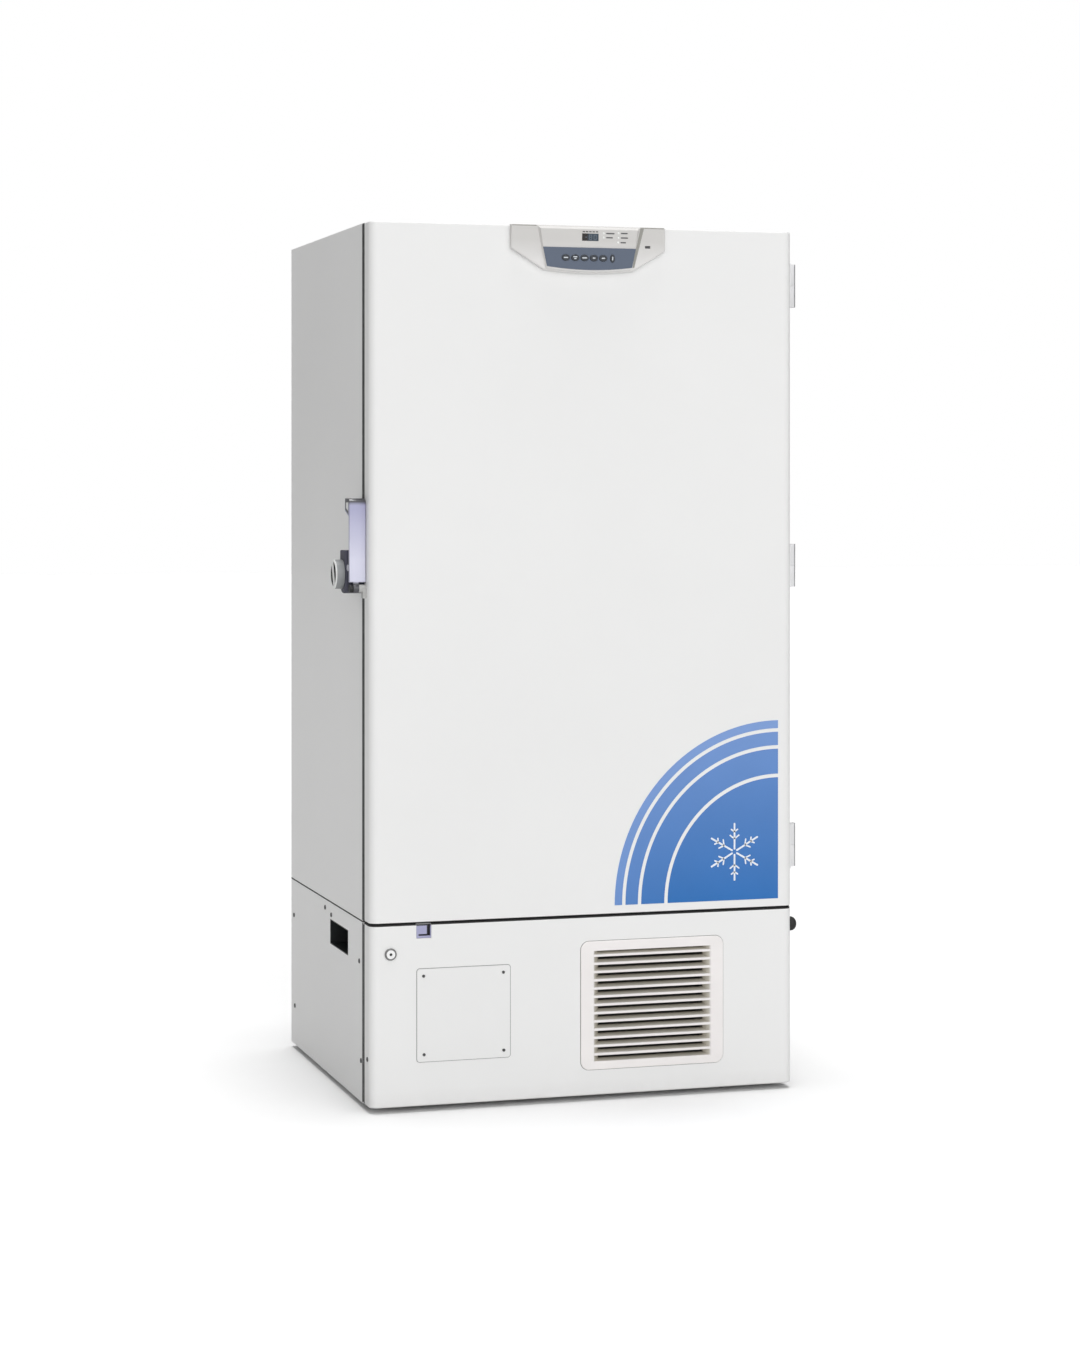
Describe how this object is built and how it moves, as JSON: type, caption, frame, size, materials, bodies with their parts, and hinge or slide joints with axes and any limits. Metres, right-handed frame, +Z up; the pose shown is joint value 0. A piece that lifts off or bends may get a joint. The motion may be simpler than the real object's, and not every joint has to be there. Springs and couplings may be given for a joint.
{
  "type": "ultra low temperature freezer",
  "caption": "Upright laboratory freezer with a side-hung insulated door, inner doors and shelves, lever handle with rotary lock, top control panel and louvred lower cover.",
  "frame": {"origin": "on the floor, under the middle of the outline of the whole freezer", "axes": "+Z up, -Y towards the viewer who stands in front of the door, +X to that viewer's right"},
  "size_m": [1.1044, 0.8846, 1.993],
  "materials": {
    "white_paint": "smooth semi-gloss white paint",
    "galvanised": "zinc coated sheet",
    "foam": "rigid foam",
    "frame_plastic": "moulded frame and liner plastic",
    "inner_panel": "foam panel with a thin plastic skin",
    "latch_plastic": "moulded plastic",
    "gasket_rubber": "soft black rubber",
    "coil_metal": "bare aluminium",
    "hinge_paint": "light grey paint",
    "panel_plastic": "warm grey plastic",
    "keypad_film": "slate blue film",
    "key_rubber": "dark key caps",
    "window_plastic": "dark clear plastic",
    "lever_plastic": "lavender plastic",
    "lock_plastic": "dark slate plastic",
    "knob_plastic": "light grey plastic",
    "grille_plastic": "off-white plastic",
    "plate_paint": "white paint",
    "lock_chrome": "polished metal",
    "switch_plastic": "dark plastic",
    "rocker_plastic": "teal plastic",
    "compressor_paint": "black paint",
    "filter_mesh": "fine plastic mesh",
    "shroud_metal": "dark grey paint",
    "fan_plastic": "black plastic",
    "box_plastic": "grey enclosure",
    "wheel_rubber": "hard black rubber",
    "foot_plastic": "black coated steel"
  },
  "bodies": {
    "cabinet": {"outer_shell": "white_paint", "breaker_frame": "frame_plastic", "chamber_liner": "galvanised", "evaporator_coil": "coil_metal", "cabinet_insulation": "foam", "shelf_rails": "galvanised", "shelves": "galvanised", "base_frame": "galvanised", "side_panel_left": "white_paint", "side_panel_right": "white_paint", "rear_panel": "galvanised", "compressor_low_stage": "compressor_paint", "compressor_high_stage": "compressor_paint", "condenser": "coil_metal", "condenser_filter": "filter_mesh", "fan_shroud": "shroud_metal", "electrical_box": "box_plastic", "cabinet_hinges": "hinge_paint", "caster_mounts": "galvanised", "lock_body": "lock_plastic", "switch_recess": "switch_plastic", "wall_brackets": "galvanised", "cover_hinge_brackets": "galvanised"},
    "door": {"door_skin": "white_paint", "door_liner": "frame_plastic", "door_insulation": "foam", "door_gasket": "gasket_rubber", "door_hinge_leaves": "hinge_paint", "control_housing": "panel_plastic", "keypad_plate": "keypad_film", "display_window": "window_plastic", "handle_bracket": "hinge_paint"},
    "lever": {"handle_lever": "lever_plastic"},
    "knob": {"lock_knob": "knob_plastic"},
    "upper_inner_door": {"inner_door_upper": "inner_panel"},
    "lower_inner_door": {"inner_door_lower": "inner_panel"},
    "upper_inner_latch": {"inner_latch_upper": "latch_plastic"},
    "lower_inner_latch": {"inner_latch_lower": "latch_plastic"},
    "cover": {"front_cover": "white_paint", "louver_grille": "grille_plastic", "recorder_plate": "plate_paint", "side_bumper": "gasket_rubber"},
    "cover_catch": {"cover_latch": "lever_plastic"},
    "cover_key": {"cover_lock": "lock_chrome"},
    "fan": {"fan_blade": "fan_plastic"},
    "rocker": {"power_rocker": "rocker_plastic"},
    "button_1": {"key_1": "key_rubber"},
    "button_2": {"key_2": "key_rubber"},
    "button_3": {"key_3": "key_rubber"},
    "button_4": {"key_4": "key_rubber"},
    "button_5": {"key_5": "key_rubber"},
    "button_6": {"key_6": "key_rubber"},
    "front_fork_left": {"front_caster_fork_left": "galvanised"},
    "front_wheel_left": {"front_caster_wheel_left": "wheel_rubber"},
    "rear_wheel_left": {"rear_caster_wheel_left": "wheel_rubber"},
    "foot_left": {"levelling_foot_left": "foot_plastic"},
    "front_fork_right": {"front_caster_fork_right": "galvanised"},
    "front_wheel_right": {"front_caster_wheel_right": "wheel_rubber"},
    "rear_wheel_right": {"rear_caster_wheel_right": "wheel_rubber"},
    "foot_right": {"levelling_foot_right": "foot_plastic"}
  },
  "joints": [
    {"name": "door_hinge", "type": "hinge", "parent": "cabinet", "child": "door", "pos_m": [0.5382, -0.3577, 0.5595], "axis": [0, 0, 1], "range_deg": [0, 120]},
    {"name": "upper_inner_door_hinge", "type": "hinge", "parent": "cabinet", "child": "upper_inner_door", "pos_m": [0.4372, -0.3057, 1.21775], "axis": [0, 0, 1], "range_deg": [0, 96]},
    {"name": "lower_inner_door_hinge", "type": "hinge", "parent": "cabinet", "child": "lower_inner_door", "pos_m": [0.4372, -0.3057, 0.5165], "axis": [0, 0, 1], "range_deg": [0, 96]},
    {"name": "upper_inner_latch_turn", "type": "hinge", "parent": "upper_inner_door", "child": "upper_inner_latch", "pos_m": [-0.3508, -0.3127, 1.55838], "axis": [0, -1, 0], "range_deg": [0, 90]},
    {"name": "lower_inner_latch_turn", "type": "hinge", "parent": "lower_inner_door", "child": "lower_inner_latch", "pos_m": [-0.3508, -0.3127, 0.85713], "axis": [0, -1, 0], "range_deg": [0, 90]},
    {"name": "lever_hinge", "type": "hinge", "parent": "door", "child": "lever", "pos_m": [-0.5078, -0.3797, 1.172], "axis": [1, 0, 0], "range_deg": [0, 50]},
    {"name": "knob_turn", "type": "hinge", "parent": "cabinet", "child": "knob", "pos_m": [-0.5318, -0.3297, 1.203], "axis": [1, 0, 0], "range_deg": [0, 90]},
    {"name": "cover_hinge", "type": "hinge", "parent": "cabinet", "child": "cover", "pos_m": [0.5092, -0.3687, 0.013], "axis": [0, 0, 1], "range_deg": [0, 60]},
    {"name": "cover_catch_press", "type": "slide", "parent": "cover", "child": "cover_catch", "axis": [0, 1, 0], "range_m": [0, 0.004], "stiffness_N_per_m": 400},
    {"name": "cover_key_turn", "type": "hinge", "parent": "cover", "child": "cover_key", "pos_m": [-0.4418, -0.4207, 0.356], "axis": [0, 1, 0], "range_deg": [0, 90]},
    {"name": "fan_spin", "type": "hinge", "parent": "cabinet", "child": "fan", "pos_m": [0.1762, -0.2617, 0.223], "axis": [0, 1, 0], "continuous": true},
    {"name": "rocker_tilt", "type": "hinge", "parent": "cabinet", "child": "rocker", "pos_m": [-0.4448, -0.1137, 0.35175], "axis": [0, 1, 0], "range_deg": [-10, 10]},
    {"name": "button_1_press", "type": "slide", "parent": "door", "child": "button_1", "axis": [0, 1, 0], "range_m": [0, 0.0012], "stiffness_N_per_m": 500},
    {"name": "button_2_press", "type": "slide", "parent": "door", "child": "button_2", "axis": [0, 1, 0], "range_m": [0, 0.0012], "stiffness_N_per_m": 500},
    {"name": "button_3_press", "type": "slide", "parent": "door", "child": "button_3", "axis": [0, 1, 0], "range_m": [0, 0.0012], "stiffness_N_per_m": 500},
    {"name": "button_4_press", "type": "slide", "parent": "door", "child": "button_4", "axis": [0, 1, 0], "range_m": [0, 0.0012], "stiffness_N_per_m": 500},
    {"name": "button_5_press", "type": "slide", "parent": "door", "child": "button_5", "axis": [0, 1, 0], "range_m": [0, 0.0012], "stiffness_N_per_m": 500},
    {"name": "button_6_press", "type": "slide", "parent": "door", "child": "button_6", "axis": [0, 1, 0], "range_m": [0, 0.0012], "stiffness_N_per_m": 500},
    {"name": "front_fork_left_swivel", "type": "hinge", "parent": "cabinet", "child": "front_fork_left", "pos_m": [-0.3888, -0.1827, 0.068], "axis": [0, 0, 1], "continuous": true},
    {"name": "front_wheel_left_roll", "type": "hinge", "parent": "front_fork_left", "child": "front_wheel_left", "pos_m": [-0.3888, -0.1667, 0.032], "axis": [1, 0, 0], "continuous": true},
    {"name": "rear_wheel_left_roll", "type": "hinge", "parent": "cabinet", "child": "rear_wheel_left", "pos_m": [-0.3888, 0.3073, 0.03], "axis": [1, 0, 0], "continuous": true},
    {"name": "foot_left_screw", "type": "slide", "parent": "cabinet", "child": "foot_left", "axis": [0, 0, 1], "range_m": [0, 0.012]},
    {"name": "front_fork_right_swivel", "type": "hinge", "parent": "cabinet", "child": "front_fork_right", "pos_m": [0.4212, -0.1827, 0.068], "axis": [0, 0, 1], "continuous": true},
    {"name": "front_wheel_right_roll", "type": "hinge", "parent": "front_fork_right", "child": "front_wheel_right", "pos_m": [0.4212, -0.1667, 0.032], "axis": [1, 0, 0], "continuous": true},
    {"name": "rear_wheel_right_roll", "type": "hinge", "parent": "cabinet", "child": "rear_wheel_right", "pos_m": [0.4212, 0.3073, 0.03], "axis": [1, 0, 0], "continuous": true},
    {"name": "foot_right_screw", "type": "slide", "parent": "cabinet", "child": "foot_right", "axis": [0, 0, 1], "range_m": [0, 0.012]}
  ],
  "couplings": [
    {"joint": "upper_inner_door_hinge", "follows": "door_hinge", "ratio": 0.8},
    {"joint": "lower_inner_door_hinge", "follows": "door_hinge", "ratio": 0.8}
  ]
}
